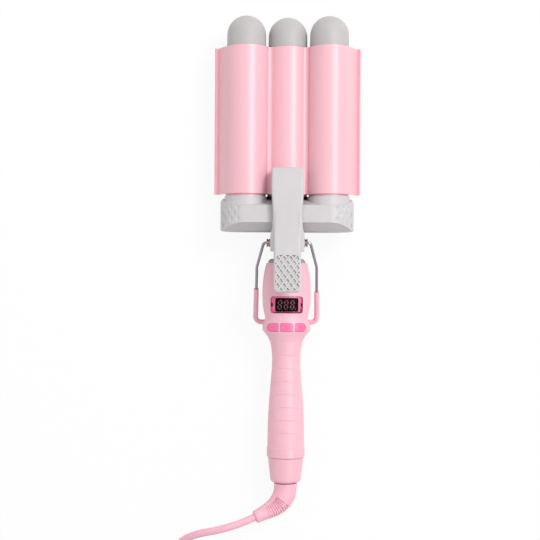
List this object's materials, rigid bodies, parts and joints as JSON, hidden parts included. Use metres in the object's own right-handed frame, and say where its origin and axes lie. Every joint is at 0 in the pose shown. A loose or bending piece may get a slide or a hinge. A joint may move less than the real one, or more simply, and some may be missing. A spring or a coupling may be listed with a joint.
{
  "type": "hair waver",
  "caption": "Corded hair waver: parallel heated barrels under a sprung corrugated plate, handle with display and keys, and a fold-out wire stand",
  "frame": {"origin": "middle of the tool's length and width, on the plane that its base beam's rear face rests on", "axes": "+X to the right with the keys facing up and the barrels pointing away, +Y along the barrels towards their tips, +Z out of the display and the clamp plate"},
  "size_m": [0.156, 0.5339, 0.0618],
  "materials": {
    "coated_barrel": "smooth pink ceramic coat on drawn aluminium",
    "pink_coating": "glossy pink ceramic coat on pressed aluminium",
    "grey_plastic": "satin warm grey",
    "pearl_plastic": "pearly light grey gloss",
    "black_plastic": "matte black, heat resistant",
    "aluminium": "bare extrusion",
    "heater_wrap": "amber polyimide wrap round a ceramic heater",
    "sensor": "glass fibre sleeve",
    "wires": "silicone insulation",
    "steel": "zinc plated",
    "plated_steel": "bright nickel plate",
    "pink_plastic": "pink gloss",
    "hot_pink_plastic": "hot pink gloss",
    "tinted_window": "clear acrylic with a pink tint",
    "circuit_board": "solder mask",
    "switch_body": "moulded black",
    "bearing_plastic": "natural acetal",
    "pink_rubber": "soft satin pink"
  },
  "bodies": {
    "tool": {"barrel_collar_left": "pearl_plastic", "barrel_collar_middle": "black_plastic", "barrel_collar_right": "pearl_plastic", "barrel_left": "coated_barrel", "barrel_middle": "coated_barrel", "barrel_right": "coated_barrel", "base_front_cover": "pearl_plastic", "base_rear_cover": "pearl_plastic", "base_screws": "steel", "board_screws": "steel", "clamp_spring": "steel", "control_board": "circuit_board", "display_frame": "hot_pink_plastic", "display_lens": "tinted_window", "display_module": "black_plastic", "end_cap": "pink_plastic", "grip_ring": "pink_plastic", "handle_collar": "grey_plastic", "handle_front_shell": "pink_plastic", "handle_rear_shell": "pink_plastic", "handle_screws": "steel", "heat_shoes_left": "aluminium", "heat_shoes_middle": "aluminium", "heat_shoes_right": "aluminium", "heater_left": "heater_wrap", "heater_middle": "heater_wrap", "heater_right": "heater_wrap", "neck_frame": "black_plastic", "pivot_bushing_left": "plated_steel", "pivot_bushing_right": "plated_steel", "power_board": "circuit_board", "swivel_socket": "bearing_plastic", "tact_switches": "switch_body", "temperature_sensor": "sensor", "thermal_fuse": "sensor", "tip_cap_left": "grey_plastic", "tip_cap_middle": "grey_plastic", "tip_cap_right": "grey_plastic", "wire_bundle": "wires"},
    "clamp": {"clamp_plate": "pink_coating", "plate_bracket": "steel", "clamp_arm": "pearl_plastic", "arm_screws": "steel"},
    "stand": {"stand_wire": "plated_steel", "stand_sleeve": "pink_rubber"},
    "button_minus": {"button_minus": "hot_pink_plastic"},
    "button_power": {"button_power": "hot_pink_plastic"},
    "button_plus": {"button_plus": "hot_pink_plastic"},
    "cord_set": {"swivel_boot": "pink_rubber", "swivel_clip": "steel", "cord": "pink_rubber", "cord_coil": "pink_rubber", "cord_tail": "pink_rubber", "plug_body": "pink_rubber", "plug_pins": "plated_steel"}
  },
  "joints": [
    {"name": "clamp_hinge", "type": "hinge", "parent": "tool", "child": "clamp", "pos_m": [0, 0.0048, 0.0305], "axis": [1, 0, 0], "range_deg": [0, 26], "stiffness_Nm_per_rad": 0.4, "springref_deg": -42.97, "deforming": ["clamp_spring"]},
    {"name": "stand_hinge", "type": "hinge", "parent": "tool", "child": "stand", "pos_m": [0, 0.0048, 0.0305], "axis": [1, 0, 0], "range_deg": [0, 75]},
    {"name": "button_minus_press", "type": "slide", "parent": "tool", "child": "button_minus", "axis": [0, 0, -1], "range_m": [0, 0.0006], "stiffness_N_per_m": 1500},
    {"name": "button_power_press", "type": "slide", "parent": "tool", "child": "button_power", "axis": [0, 0, -1], "range_m": [0, 0.0006], "stiffness_N_per_m": 1500},
    {"name": "button_plus_press", "type": "slide", "parent": "tool", "child": "button_plus", "axis": [0, 0, -1], "range_m": [0, 0.0006], "stiffness_N_per_m": 1500},
    {"name": "cord_swivel", "type": "hinge", "parent": "tool", "child": "cord_set", "pos_m": [0, -0.1865, 0.0215], "axis": [0, 1, 0], "continuous": true}
  ]
}
